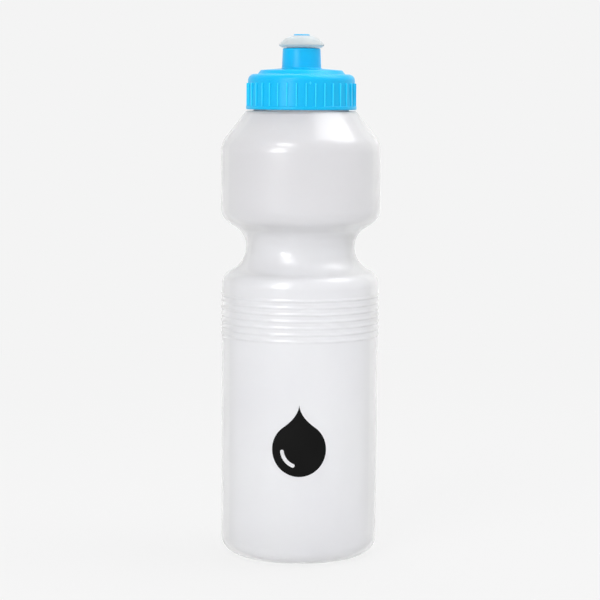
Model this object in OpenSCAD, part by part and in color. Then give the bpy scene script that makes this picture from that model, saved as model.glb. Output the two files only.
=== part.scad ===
// Sports squeeze bottle: a blow-moulded bottle, a screw lid with a valve collar,
// a sealing washer under the lid and a push-pull mouthpiece in the collar.
// The base stands on z = 0 and the bottle's axis is Z. Millimetres.

/* [Bottle] */
// Diameter of the lower body, where a bottle cage holds it
body_d = 72.6; // [71:0.1:74]
// Diameter of the upper bulb
bulb_d = 73.8; // [73:0.1:76]
// Diameter at the narrowest part of the waist
waist_d = 50.3; // [47:0.1:56]
// Thickness of the blow-moulded wall
wall = 1.3; // [1:0.1:1.6]
// Height of the ledge that the neck stands on
ledge_z = 205.4; // [204:0.1:210]
// Outer diameter of the neck between its threads
neck_d = 43.5; // [43:0.1:43.9]
// Height of the neck's rim above the ledge
neck_h = 13.4; // [13:0.1:14]
// Depth of the hollow in the middle of the base
push_up = 5; // [3:0.5:7]

/* [Beads] */
// Number of raised beads below the waist
bead_count = 7; // [3:1:8]
// Distance from one bead to the next
bead_pitch = 3.06; // [2.6:0.02:3.2]
// Height of the lowest bead
bead_z = 102.7; // [98:0.1:103]
// Height that a bead stands proud
bead_h = 0.35; // [0.2:0.05:0.5]

/* [Thread] */
// Rise of the lid in one full turn
thread_lead = 5; // [4.8:0.1:5.4]
// Height of each thread ridge
thread_h = 1; // [0.8:0.1:1.1]
// Turns of thread on the neck
neck_turns = 1.5; // [1:0.25:1.5]
// Turns of thread in the lid
lid_turns = 1.25; // [1:0.25:1.25]

/* [Lid] */
// Diameter of the plain band at the foot of the skirt
lid_d = 50.9; // [50.5:0.1:51.5]
// Thickness of the roof over the washer
roof_t = 1.9; // [1.6:0.1:2.2]
// Number of grip ribs round the skirt
rib_count = 36; // [24:1:48]
// Width of a grip rib
rib_w = 0.65; // [0.4:0.05:1]
// Diameter of the raised disc on top
disc_d = 37.5; // [35:0.5:39]
// Height of the raised disc above the flat of the lid
disc_h = 1.8; // [1.2:0.1:2.2]

/* [Valve] */
// Diameter of the collar at its foot
collar_d = 18.1; // [17.8:0.1:18.8]
// Height of the collar above the raised disc
collar_h = 10.1; // [9.5:0.1:10.5]
// Diameter of the pin that plugs the drinking hole
pin_d = 7.4; // [6.4:0.1:7.8]
// Diameter of the mouthpiece at its lip
mouth_d = 20.8; // [20.2:0.1:21.6]
// Travel of the mouthpiece from shut to open
valve_travel = 7; // [5:0.1:7]

/* [Seal] */
// Thickness of the washer under the lid
washer_t = 1.6; // [1.4:0.1:1.8]

/* [Hidden] */
$fn = 96;
arc_step = 9;              // degrees of arc in one straight piece of an outline
thread_step = 9;           // degrees of turn in one piece of a thread ridge
thread_root_w = 3.4;       // width of a thread ridge at its foot
thread_crest_w = 1.6;      // width of a thread ridge at its crest
thread_gap = 0.3;          // from a thread's crest to the wall that it faces
thread_sunk = 0.4;         // depth of a ridge's foot in its wall
thread_fade = 30;          // degrees over which a ridge's end sinks into its wall

body_r = body_d / 2;
bulb_r = bulb_d / 2;
waist_r = waist_d / 2;
neck_r = neck_d / 2;
bore_r = neck_r - wall;
rim_z = ledge_z + neck_h;
thread_z = ledge_z + 2.8;  // height at which both thread ridges start
base_ring_r = 25.2;        // inner edge of the ring that the bottle stands on
base_round = 8;            // round between the ring and the wall

waist_z = 143;             // height of the narrowest part of the waist
low_depth = body_r - waist_r;
high_depth = bulb_r - waist_r;
waist_round_low = 1.08 * low_depth;   // rounds of the waist, below and above its narrowest part
waist_round_high = 0.85 * high_depth;
body_top_round = 0.59 * low_depth;    // rounds where the flanks meet the body and the bulb
bulb_low_round = 0.69 * high_depth;
flank_low = 66;            // degrees of the two flanks of the waist from the vertical
flank_high = 56;
waist_low_z = waist_z - waist_round_low * tan(flank_low / 2);
waist_high_z = waist_z + 0.4 + waist_round_high * tan(flank_high / 2);
body_top_z = waist_low_z - low_depth / tan(flank_low);
bulb_low_z = waist_high_z + high_depth / tan(flank_high);
cone_angle = 37.7;         // degrees of the shoulder cone from the vertical
ledge_r = 25.45;           // radius of the shoulder's top edge
bulb_top_z = ledge_z - (bulb_r - ledge_r) / tan(cone_angle);
bead_round = 0.6;          // radius of a bead's own round

lid_r = lid_d / 2;
skirt_z = ledge_z + 0.7;
skirt_in_r = neck_r + thread_h + thread_gap;
band_h = 1.7;              // height of the plain band at the skirt's foot
panel_foot_r = lid_r - 0.6;
panel_top_r = lid_r - 0.85;
shoulder_round = 3;
roof_z = rim_z + washer_t; // underside of the lid, where the washer seats
flat_z = roof_z + roof_t;
disc_r = disc_d / 2;
disc_z = flat_z + disc_h;
disc_roof = 1.7;           // thickness of the raised disc
rib_crest_r = lid_r - 0.15;
rib_top_z = flat_z - 4.1;
nib_d = 0.9;               // gate nib beside a rib, and its place round the skirt
nib_h = 0.25;
nib_angle = -80.5;
washer_bead_r = 0.4;       // bead in the skirt that keeps the washer in the lid

dome_rise = 0.8;           // rise of the raised disc towards the collar
collar_foot_z = disc_z + dome_rise;
collar_r = collar_d / 2;
collar_top_z = collar_foot_z + collar_h - dome_rise;
collar_draft = 0.4;        // how much narrower the collar is at its top
chamber_r = 7.4;           // bore that the mouthpiece's foot slides in
lip_bore_r = 6.85;         // bore of the lip that keeps the mouthpiece in
lip_t = 1.6;
cup_foot_z = roof_z - 0.8; // underside of the valve's floor
cup_floor_t = 1.4;
cup_wall = 1.5;
window_count = 3;          // flow windows through the floor
window_angle = 84;
window_in_r = 3.6;
window_out_r = 6.5;
pin_r = pin_d / 2;
shaft_r = 2.4;             // the pin's shaft, under its head
slide_gap = 0.05;          // running clearance of the pin in the drinking hole

mouth_z = collar_top_z + 0.3;
mouth_h = 5.35;
mouth_top_z = mouth_z + mouth_h;
pin_top_z = mouth_top_z + 0.6;
mouth_r = mouth_d / 2;
stem_r = lip_bore_r - 0.1;
stem_bore_r = 5.4;
hole_r = pin_r + slide_gap;
foot_r = chamber_r - 0.1;
foot_t = 1.4;
foot_top_z = collar_top_z - lip_t - valve_travel - 0.1;

washer_in_r = bore_r - 0.5;
washer_out_r = skirt_in_r - 0.3;

// Direction from one point to another, of length 1
function heading(from, to) = (to - from) / norm(to - from);
function left_of(v) = [-v.y, v.x];
function place(corner) = [corner.x, corner.y];

// Arc of radius r that rounds corner b, between corners a and c
function corner_arc(a, b, c, r) =
    let (
        to_a = heading(b, a),
        to_c = heading(b, c),
        half = acos(to_a * to_c) / 2,
        centre = b + (to_a + to_c) / norm(to_a + to_c) * r / sin(half),
        first = b + to_a * r / tan(half) - centre,
        last = b + to_c * r / tan(half) - centre,
        from = atan2(first.y, first.x),
        turn = atan2(last.y, last.x) - from,
        sweep = turn > 180 ? turn - 360 : turn < -180 ? turn + 360 : turn,
        steps = ceil(abs(sweep) / arc_step)
    )
    [for (i = [0 : steps]) centre + r * [cos(from + sweep * i / steps), sin(from + sweep * i / steps)]];

// Closed outline through corners [x, y, radius], each rounded to its radius
function rounded(corners) =
    let (n = len(corners))
    [for (i = [0 : n - 1])
        let (
            a = place(corners[(i + n - 1) % n]),
            b = place(corners[i]),
            c = place(corners[(i + 1) % n])
        )
        each corners[i].z == 0 ? [b] : corner_arc(a, b, c, corners[i].z)];

// Corner b of an open path moved to its left by t, with its round kept parallel
function inset_corner(a, b, c, t) =
    let (
        n1 = left_of(heading(place(a), place(b))),
        n2 = left_of(heading(place(b), place(c))),
        moved = place(b) + t * (n1 + n2) / (1 + n1 * n2),
        bends_left = cross(n1, n2) > 0
    )
    [moved.x, moved.y, b.z == 0 ? 0 : max(0.1, b.z + (bends_left ? -t : t))];

// Outside of the bottle from the middle of its base to the foot of its neck
outside = [
    [0, push_up, 0],
    [18, push_up - 1, 10],
    [base_ring_r, 0, 1.6],
    [body_r, 0, base_round],
    [body_r, body_top_z, body_top_round],
    [waist_r, waist_low_z, waist_round_low - 0.05],
    [waist_r, waist_high_z, waist_round_high - 0.05],
    [bulb_r, bulb_low_z, bulb_low_round],
    [bulb_r, bulb_top_z, 10],
    [ledge_r, ledge_z, 0.8],
    [neck_r, ledge_z, 0.8],
    [neck_r, rim_z, 0]
];
inside = [
    for (i = [1 : len(outside) - 2])
        inset_corner(outside[i - 1], outside[i], outside[i + 1], wall)
];
rim_round = 0.45;

// Helical ridge on a round wall. It stands towards crest_r, and both its ends sink into the wall
module thread_ridge(wall_r, crest_r, start_z, turns) {
    out = sign(crest_r - wall_r);
    steps = round(360 * turns / thread_step);
    function height_at(a) = min(1, a / thread_fade, (360 * turns - a) / thread_fade);
    function tip_r(a) = wall_r + out * ((abs(crest_r - wall_r) + 0.1) * height_at(a) - 0.1);
    foot_r = wall_r - out * thread_sunk;
    ring = [for (i = [0 : steps])
        let (
            a = i * thread_step,
            z = start_z + thread_lead * a / 360,
            tip = tip_r(a)
        )
        each [for (p = [
            [foot_r, -thread_root_w / 2], [tip, -thread_crest_w / 2],
            [tip, thread_crest_w / 2], [foot_r, thread_root_w / 2]])
            [p.x * cos(a), p.x * sin(a), z + p.y]]];
    sides = [for (i = [0 : steps - 1], k = [0 : 3])
        let (
            p = 4 * i + k,
            q = 4 * i + (k + 1) % 4
        )
        each out > 0 ? [[p, q, p + 4], [q, q + 4, p + 4]] : [[p, p + 4, q], [q, p + 4, q + 4]]];
    last = 4 * steps;
    ends = out > 0
        ? [[0, 2, 1], [0, 3, 2], [last, last + 1, last + 2], [last, last + 2, last + 3]]
        : [[0, 1, 2], [0, 2, 3], [last, last + 2, last + 1], [last, last + 3, last + 2]];
    polyhedron(ring, concat(sides, ends), convexity = 8);
}

// Blow-moulded bottle with its beads and neck thread
module bottle_body() {
    shell = concat(
        [for (i = [0 : len(outside) - 2]) outside[i]],
        [[neck_r, rim_z, rim_round], [bore_r, rim_z, rim_round]],
        [for (i = [len(inside) - 1 : -1 : 0]) inside[i]],
        [[0, push_up + wall, 0]]
    );
    color([0.9, 0.91, 0.93, 0.6]) {
        rotate_extrude() polygon(rounded(shell));
        for (i = [0 : bead_count - 1])
            translate([0, 0, bead_z + i * bead_pitch])
                rotate_extrude() translate([body_r + bead_h - bead_round, 0]) circle(bead_round, $fn = 24);
        thread_ridge(neck_r, neck_r + thread_h, thread_z, neck_turns);
    }
}

// Thin upright rib that stands on the skirt's plain band
module grip_rib() {
    foot_z = skirt_z + band_h - 0.2;
    translate([rib_crest_r - 1.3, -rib_w / 2, foot_z]) cube([1.3, rib_w, rib_top_z - foot_z]);
}

// Small round nib that the moulding gate leaves on the skirt
module gate_nib() {
    rotate(nib_angle)
        translate([panel_top_r - 0.3, 0, rib_top_z])
            rotate([0, 90, 0]) cylinder(h = nib_h + 0.3, d = nib_d, $fn = 24);
}

// Flow windows cut through the floor of the valve chamber
module flow_windows() {
    for (i = [0 : window_count - 1])
        rotate(i * 360 / window_count)
            rotate_extrude(angle = window_angle)
                translate([window_in_r, cup_foot_z - 1])
                    square([window_out_r - window_in_r, cup_floor_t + 2]);
}

// Screw lid in one moulding: skirt, roof, valve chamber, collar and pin
module screw_lid() {
    cup_r = chamber_r + cup_wall;
    shell = [
        [skirt_in_r, skirt_z, 0.4],
        [lid_r, skirt_z, 0.5],
        [lid_r, skirt_z + band_h, 0.3],
        [panel_foot_r, skirt_z + band_h, 0],
        [panel_top_r, rib_top_z, 0],
        [panel_top_r, flat_z, shoulder_round],
        [disc_r + 1.4, flat_z, 0.8],
        [disc_r, disc_z, 0.8],
        [collar_r, collar_foot_z, 0.7],
        [collar_r - collar_draft, collar_top_z, 0.8],
        [lip_bore_r, collar_top_z, 0.3],
        [lip_bore_r, collar_top_z - lip_t, 0],
        [chamber_r, collar_top_z - lip_t, 0],
        [chamber_r, cup_foot_z + cup_floor_t, 0],
        [shaft_r, cup_foot_z + cup_floor_t, 0.5],
        [shaft_r, mouth_top_z - 4, 0.5],
        [pin_r, mouth_top_z - 3, 0.5],
        [pin_r, pin_top_z, 0.35],
        [0, pin_top_z, 0],
        [0, cup_foot_z, 0],
        [cup_r, cup_foot_z, 0.4],
        [cup_r, disc_z - disc_roof, 0.6],
        [disc_r - 1, disc_z - disc_roof, 0.6],
        [disc_r - 1, roof_z, 0.4],
        [skirt_in_r, roof_z, 0.2]
    ];
    color([0, 0.62, 0.93]) {
        difference() {
            rotate_extrude() polygon(rounded(shell));
            flow_windows();
        }
        for (i = [0 : rib_count - 1]) rotate((i + 0.5) * 360 / rib_count) grip_rib();
        gate_nib();
        translate([0, 0, rim_z - 0.9])
            rotate_extrude() translate([skirt_in_r, 0]) circle(washer_bead_r, $fn = 24);
        rotate(180) thread_ridge(skirt_in_r, skirt_in_r - thread_h, thread_z, lid_turns);
    }
}

// Flat washer between the lid's roof and the neck's rim
module sealing_washer() {
    color([0.93, 0.93, 0.92])
        rotate_extrude()
            polygon(rounded([
                [washer_in_r, rim_z, 0.2],
                [washer_out_r, rim_z, 0.2],
                [washer_out_r, roof_z, 0.2],
                [washer_in_r, roof_z, 0.2]
            ]));
}

// Push-pull mouthpiece: a mushroom head on a hollow stem with a foot that the lip holds in
module push_pull_mouthpiece() {
    stem_foot_z = foot_top_z - foot_t;
    color([0.86, 0.9, 0.91, 0.7])
        rotate_extrude()
            polygon(rounded([
                [stem_bore_r, stem_foot_z, 0.3],
                [foot_r, stem_foot_z, 0.5],
                [foot_r, foot_top_z, 0.3],
                [stem_r, foot_top_z, 0],
                [stem_r, mouth_z + 0.4, 0.2],
                [mouth_r - 1.1, mouth_z, 0.4],
                [mouth_r + 0.2, mouth_z + 1.1, 0.5],
                [mouth_r - 2.05, mouth_z + 3.65, 8],
                [pin_r + 1.05, mouth_top_z, 0.4],
                [hole_r + 0.5, mouth_top_z, 0.15],
                [hole_r, mouth_top_z - 0.6, 0],
                [hole_r, mouth_top_z - 2.2, 0.3],
                [stem_bore_r, mouth_top_z - 3.2, 0.8]
            ]));
}

bottle_body();
screw_lid();
sealing_washer();
push_pull_mouthpiece();
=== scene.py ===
"""Sports squeeze bottle: its pieces, finishes, studio and camera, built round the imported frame.

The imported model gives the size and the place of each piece. Lengths in the classes are in
millimetres, as on a drawing, and become metres where a mesh is made.
"""

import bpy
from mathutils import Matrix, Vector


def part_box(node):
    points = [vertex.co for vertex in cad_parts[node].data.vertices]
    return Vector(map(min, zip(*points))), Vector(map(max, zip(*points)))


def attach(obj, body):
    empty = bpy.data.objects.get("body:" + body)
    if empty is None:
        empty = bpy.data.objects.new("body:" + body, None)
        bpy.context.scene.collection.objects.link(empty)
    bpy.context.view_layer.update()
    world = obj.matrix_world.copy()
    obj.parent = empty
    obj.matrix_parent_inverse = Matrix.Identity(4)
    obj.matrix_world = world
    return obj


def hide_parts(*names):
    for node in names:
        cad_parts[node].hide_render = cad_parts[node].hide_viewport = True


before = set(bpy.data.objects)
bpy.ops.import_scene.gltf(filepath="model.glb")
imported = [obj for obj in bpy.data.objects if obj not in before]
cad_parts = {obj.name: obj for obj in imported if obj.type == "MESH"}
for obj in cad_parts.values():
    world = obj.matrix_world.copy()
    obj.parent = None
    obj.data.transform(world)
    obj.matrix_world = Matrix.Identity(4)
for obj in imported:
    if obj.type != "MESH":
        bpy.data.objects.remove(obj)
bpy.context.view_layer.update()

import logging
import math
from collections.abc import Callable, Iterable, Sequence
from dataclasses import dataclass, field
from enum import Enum

import bmesh
import bpy
from mathutils import Matrix, Vector

MM = 0.001
OUTSIDE = "outside"
# Attribute of points that take a painted colour: painted shade on the bulb, painted highlight on the
# lid's ribs and nib.
PAINTED_LIGHT = "painted_light"
TIP_SCALE = 0.72
log = logging.getLogger("squeeze_bottle")

Point = tuple[float, float]
Colour = tuple[float, float, float]
Socket = bpy.types.NodeSocket
Mesh = bpy.types.Mesh
Object = bpy.types.Object


class Body(Enum):
    """The moving bodies of the frame that the pieces ride on."""

    BOTTLE = "bottle"
    WASHER = "washer"
    LID = "lid"
    MOUTHPIECE = "mouthpiece"


class Slot(Enum):
    """The record's material slots."""

    BOTTLE = "bottle_frosted"
    LID = "lid_blue"
    WASHER = "washer_white"
    MOUTHPIECE = "mouthpiece_clear"
    PRINT = "print_black"


class Node(Enum):
    """The frame's nodes that the finished pieces stand for."""

    BOTTLE = "bottle_body"
    LID = "screw_lid"
    WASHER = "sealing_washer"
    MOUTHPIECE = "push_pull_mouthpiece"

    def low(self) -> float:
        """Height of the node's lowest point, in millimetres."""
        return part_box(self.value)[0][2] / MM

    def high(self) -> float:
        """Height of the node's highest point, in millimetres."""
        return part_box(self.value)[1][2] / MM


# --------------------------------------------------------------------------- outlines and lathes


@dataclass(frozen=True)
class Corner:
    """A corner of a turned outline, with the radius of the round on it."""

    r: float
    z: float
    round: float = 0.0

    @property
    def at(self) -> Vector:
        """The corner as a flat vector."""
        return Vector((self.r, self.z))


@dataclass(frozen=True)
class FineZone:
    """A stretch of an outline that gets close rows, because a ridge is raised on it."""

    low: Point
    high: Point
    spacing: float

    def holds(self, a: Point, b: Point) -> bool:
        """Whether the stretch from a to b lies in the zone."""
        return all(
            low <= (one + other) / 2 <= high for low, one, other, high in zip(self.low, a, b, self.high)
        )


def arc(centre: Point, r: float, start: float, end: float, count: int) -> list[Point]:
    """Points in equal steps along an arc.

    Args:
        centre: Centre of the arc.
        r: Its radius.
        start: Angle of its first point, in radians.
        end: Angle of its last point.
        count: Number of steps.

    Returns:
        The points, one more than the steps.
    """
    angles = [start + (end - start) * i / count for i in range(count + 1)]
    return [(centre[0] + r * math.cos(a), centre[1] + r * math.sin(a)) for a in angles]


@dataclass
class Outline:
    """A closed outline of rounded corners that a lathe turns about the axis."""

    corners: list[Corner]
    arc_step: float = 5.0
    edge_row: float = 0.12
    zones: list[FineZone] = field(default_factory=list)

    def rounded(self, before: Vector, corner: Corner, after: Vector) -> list[Point]:
        """Points of the round on one corner.

        Args:
            before: The corner before it.
            corner: The corner itself.
            after: The corner after it.

        Returns:
            The points of the round, or the sharp corner itself.
        """
        if corner.round <= 0:
            return [(corner.r, corner.z)]
        b = corner.at
        to_a, to_c = (before - b).normalized(), (after - b).normalized()
        half = math.acos(max(-1.0, min(1.0, to_a.dot(to_c)))) / 2
        centre = b + (to_a + to_c).normalized() * corner.round / math.sin(half)
        first = b + to_a * corner.round / math.tan(half) - centre
        last = b + to_c * corner.round / math.tan(half) - centre
        start = math.atan2(first.y, first.x)
        sweep = math.remainder(math.atan2(last.y, last.x) - start, math.tau)
        steps = max(2, math.ceil(abs(math.degrees(sweep)) / self.arc_step))
        return arc((centre.x, centre.y), corner.round, start, start + sweep, steps)

    def straight(self, a: Point, b: Point) -> list[Point]:
        """Rows between two points of the outline, ends left out.

        Args:
            a: Start of the stretch.
            b: End of the stretch.

        Returns:
            Close rows in a fine zone, or else one row near each end, which keeps the
            shading of a flat wall flat.
        """
        length = math.dist(a, b)

        def along(t: float) -> Point:
            return (a[0] + (b[0] - a[0]) * t, a[1] + (b[1] - a[1]) * t)

        for zone in self.zones:
            if zone.holds(a, b):
                count = max(1, round(length / zone.spacing))
                return [along(i / count) for i in range(1, count)]
        if length < 5 * self.edge_row:
            return []
        near = self.edge_row / length
        middle = max(0, math.ceil(length / 12) - 1)
        return [
            along(near),
            *(along((i + 1) / (middle + 1)) for i in range(middle)),
            along(1 - near),
        ]

    def points(self) -> list[Point]:
        """All points of the outline in order, with rows added on its straight stretches."""
        n = len(self.corners)
        arcs = [
            self.rounded(self.corners[i - 1].at, c, self.corners[(i + 1) % n].at)
            for i, c in enumerate(self.corners)
        ]
        out: list[Point] = []
        for i, points in enumerate(arcs):
            following = arcs[(i + 1) % n][0]
            out += points
            on_axis = points[-1][0] < 1e-6 and following[0] < 1e-6
            if not on_axis:
                out += self.straight(points[-1], following)
        return out


def wall_inside(path: Sequence[Corner], wall: float) -> list[Corner]:
    """The inner face of a wall of even thickness.

    Args:
        path: Corners of the outer face, with the material on their left.
        wall: Thickness of the wall.

    Returns:
        The corners between the first and the last, moved inwards, with their rounds parallel.
    """
    inner = []
    for a, b, c in zip(path, path[1:], path[2:]):
        one, two = (b.at - a.at).normalized(), (c.at - b.at).normalized()
        left_one, left_two = Vector((-one.y, one.x)), Vector((-two.y, two.x))
        moved = b.at + (left_one + left_two) * wall / (1 + left_one.dot(left_two))
        bends_left = one.x * two.y - one.y * two.x > 0
        radius = max(0.15, b.round - wall if bends_left else b.round + wall) if b.round else 0.0
        inner.append(Corner(moved.x, moved.y, radius))
    return inner


def turned(name: str, points: Sequence[Point], columns: int) -> Mesh:
    """Turns an outline about the Z axis into a closed mesh.

    Args:
        name: Name of the mesh.
        points: Radius and height of each point, in millimetres. A point on the axis makes a pole.
        columns: Number of columns round the axis.

    Returns:
        The mesh in metres, with its faces outwards.
    """
    shape = bmesh.new()
    turns = [math.tau * k / columns for k in range(columns)]
    rows = []
    for r, z in points:
        if r < 1e-6:
            rows.append([shape.verts.new((0, 0, z * MM))])
        else:
            rows.append(
                [shape.verts.new((r * MM * math.cos(t), r * MM * math.sin(t), z * MM)) for t in turns]
            )
    for low, high in zip(rows, rows[1:] + rows[:1]):
        if len(low) == len(high) == 1:
            continue
        for k in range(columns):
            a, b = low[k % len(low)], low[(k + 1) % len(low)]
            c, d = high[(k + 1) % len(high)], high[k % len(high)]
            ring = list(dict.fromkeys((a, b, c, d)))
            shape.faces.new(ring)
    return as_mesh(shape, name)


def as_mesh(shape: bmesh.types.BMesh, name: str) -> Mesh:
    """Makes a mesh of a finished shape, with its faces outwards.

    Args:
        shape: The shape, whose faces agree with each other. It is freed.
        name: Name of the mesh.

    Returns:
        The mesh.
    """
    if shape.calc_volume(signed=True) < 0:
        bmesh.ops.reverse_faces(shape, faces=shape.faces)
    mesh = bpy.data.meshes.new(name)
    shape.to_mesh(mesh)
    shape.free()
    return mesh


def joined(name: str, meshes: Iterable[Mesh]) -> Mesh:
    """Puts several meshes into one and removes them.

    Args:
        name: Name of the mesh that is made.
        meshes: The meshes to take.

    Returns:
        The new mesh.
    """
    shape = bmesh.new()
    shape.verts.layers.float.new(PAINTED_LIGHT)
    for mesh in meshes:
        shape.from_mesh(mesh)
        bpy.data.meshes.remove(mesh)
    out = bpy.data.meshes.new(name)
    shape.to_mesh(out)
    shape.free()
    return out


def mark_outside(mesh: Mesh) -> None:
    """Stores 1 on a turned shell's points that face away from the axis, and 0 on its inner wall."""
    values = [float(v.co.x * v.normal.x + v.co.y * v.normal.y > 0) for v in mesh.vertices]
    mesh.attributes.new(OUTSIDE, "FLOAT", "POINT").data.foreach_set("value", values)


def mark_painted_light(mesh: Mesh, low: float, high: float) -> None:
    """Stores the painted light mark on the points of a mesh, growing from 0 at one height to 1 at
    another.

    Args:
        mesh: The mesh.
        low: Height below which the mark is 0, in millimetres.
        high: Height above which it is 1.
    """
    values = [max(0.0, min(1.0, (v.co.z / MM - low) / (high - low))) for v in mesh.vertices]
    mesh.attributes.new(PAINTED_LIGHT, "FLOAT", "POINT").data.foreach_set("value", values)


def placed(name: str, mesh: Mesh, material: bpy.types.Material, sharp: float) -> Object:
    """Makes an object at the origin of a mesh in metres.

    Args:
        name: Name of the object.
        mesh: Its mesh.
        material: The finish of all its faces.
        sharp: Angle in degrees over which an edge stays sharp.

    Returns:
        The object, linked into the scene.
    """
    mesh.materials.clear()
    mesh.materials.append(material)
    mesh.shade_smooth()
    mesh.set_sharp_from_angle(angle=math.radians(sharp))
    made = bpy.data.objects.new(name, mesh)
    bpy.context.collection.objects.link(made)
    return made


# --------------------------------------------------------------------------- node trees


class Tree:
    """A node tree that is wired in code, with maths written as calls."""

    def __init__(self, nodes: bpy.types.NodeTree) -> None:
        """Takes the tree that the nodes go into."""
        self.tree = nodes

    def add(self, kind: str, settings: dict | None = None, **inputs: object) -> bpy.types.Node:
        """Adds a node.

        Args:
            kind: The node's type, as Blender names it.
            settings: The node's own properties.
            **inputs: Values or sockets for its inputs, with _ for a space in a name.

        Returns:
            The node.
        """
        node = self.tree.nodes.new(kind)
        for name, value in (settings or {}).items():
            setattr(node, name, value)
        for name, value in inputs.items():
            self.put(node.inputs[name.replace("_", " ")], value)
        return node

    def put(self, socket: Socket, value: object) -> None:
        """Gives an input a value, or links a socket to it."""
        if isinstance(value, bpy.types.NodeSocket):
            self.tree.links.new(value, socket)
        elif value is not None:
            socket.default_value = value

    def maths(self, operation: str, *values: float | Socket) -> Socket:
        """A Math node's result.

        Args:
            operation: The operation, such as MULTIPLY.
            *values: Its one, two or three operands.

        Returns:
            The result's socket.
        """
        node = self.add("ShaderNodeMath", {"operation": operation})
        for socket, value in zip(node.inputs, values):
            self.put(socket, value)
        return node.outputs[0]

    def product(self, *values: float | Socket) -> Socket:
        """The product of two or more values."""
        result = values[0]
        for value in values[1:]:
            result = self.maths("MULTIPLY", result, value)
        return result

    def clamped(self, value: Socket) -> Socket:
        """The value held between 0 and 1."""
        node = self.add("ShaderNodeClamp")
        self.put(node.inputs["Value"], value)
        return node.outputs[0]

    def ramp(
        self,
        value: Socket,
        low: float | Socket,
        high: float | Socket,
        out_low: float = 0.0,
        out_high: float = 1.0,
    ) -> Socket:
        """A smooth step of the value from one range to another.

        Args:
            value: The value to map.
            low: Where the step starts.
            high: Where the step ends.
            out_low: Result below the step.
            out_high: Result above the step.

        Returns:
            The result's socket.
        """
        node = self.add("ShaderNodeMapRange", {"interpolation_type": "SMOOTHSTEP"})
        for name, given in (
            ("Value", value),
            ("From Min", low),
            ("From Max", high),
            ("To Min", out_low),
            ("To Max", out_high),
        ):
            self.put(node.inputs[name], given)
        return node.outputs["Result"]

    def blend(self, one: Colour | Socket, other: Colour | Socket, share: Socket) -> Socket:
        """A colour between two others.

        Args:
            one: The first colour, or the socket that gives it.
            other: The second.
            share: How much of the second to take.

        Returns:
            The colour's socket.
        """
        mix = self.add("ShaderNodeMix", {"data_type": "RGBA"})
        self.put(mix.inputs["Factor"], share)
        for socket, colour in ((mix.inputs[6], one), (mix.inputs[7], other)):
            self.put(socket, (*colour, 1.0) if isinstance(colour, tuple) else colour)
        return mix.outputs[2]


class GeometryTool(Tree):
    """A Geometry Nodes tree with named inputs, run on a piece and then made a plain mesh."""

    def __init__(self, name: str, values: Sequence[str], counts: Sequence[str] = ()) -> None:
        """Makes the tree's interface.

        Args:
            name: Name of the tree.
            values: Names of the inputs that are lengths or other plain values.
            counts: Names of the inputs that are whole numbers.
        """
        super().__init__(bpy.data.node_groups.new(name, "GeometryNodeTree"))
        face = self.tree.interface
        face.new_socket("Geometry", in_out="OUTPUT", socket_type="NodeSocketGeometry")
        face.new_socket("Geometry", in_out="INPUT", socket_type="NodeSocketGeometry")
        for kind, labels in (("Float", values), ("Int", counts), ("Material", ("Finish",))):
            for label in labels:
                face.new_socket(label, in_out="INPUT", socket_type="NodeSocket" + kind)
        self.given = self.add("NodeGroupInput")

    def value(self, name: str) -> Socket:
        """The socket of a named input."""
        return self.given.outputs[name]

    def close(self, geometry: Socket) -> None:
        """Ends the tree in Realize Instances and Set Material."""
        real = self.add("GeometryNodeRealizeInstances", Geometry=geometry)
        dressed = self.add(
            "GeometryNodeSetMaterial", Geometry=real.outputs[0], Material=self.value("Finish")
        )
        self.add("NodeGroupOutput", Geometry=dressed.outputs[0])

    def place(self) -> tuple[Socket, Socket, Socket, Socket]:
        """The point's x, y and z, and its distance from the axis."""
        position = self.add("GeometryNodeInputPosition")
        split = self.add("ShaderNodeSeparateXYZ", Vector=position.outputs[0])
        x, y, z = split.outputs
        r = self.maths("SQRT", self.maths("ADD", self.product(x, x), self.product(y, y)))
        return x, y, z, r

    def raise_wall(self, geometry: Socket, height: Socket, low: Socket, high: Socket) -> Socket:
        """Moves the wall's points away from the axis.

        Args:
            geometry: The mesh.
            height: How far each point moves.
            low: Radius below which points stay.
            high: Radius above which points stay.

        Returns:
            The moved mesh.
        """
        x, y, _, r = self.place()
        inside = self.product(self.maths("GREATER_THAN", r, low), self.maths("LESS_THAN", r, high))
        share = self.maths("DIVIDE", self.product(height, inside), self.maths("MAXIMUM", r, 1e-5))
        offset = self.add("ShaderNodeCombineXYZ", X=self.product(x, share), Y=self.product(y, share))
        moved = self.add("GeometryNodeSetPosition", Geometry=geometry, Offset=offset.outputs[0])
        return moved.outputs[0]

    def run(self, piece: Object, values: dict[str, object]) -> Object:
        """Runs the tree on a piece and keeps the result as a plain mesh.

        Args:
            piece: The piece, which keeps its name and its one material.
            values: A value for each named input but the finish.

        Returns:
            The piece with its new mesh and no modifier.
        """
        values = {**values, "Finish": piece.data.materials[0]}
        step = piece.modifiers.new(self.tree.name, "NODES")
        step.node_group = self.tree
        for item in self.tree.interface.items_tree:
            if item.in_out == "INPUT" and item.name in values:
                step[item.identifier] = values[item.name]
        depsgraph = bpy.context.evaluated_depsgraph_get()
        made = bpy.data.meshes.new_from_object(piece.evaluated_get(depsgraph), depsgraph=depsgraph)
        piece.modifiers.remove(step)
        old, piece.data = piece.data, made
        made.name = old.name
        bpy.data.meshes.remove(old)
        return piece


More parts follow.
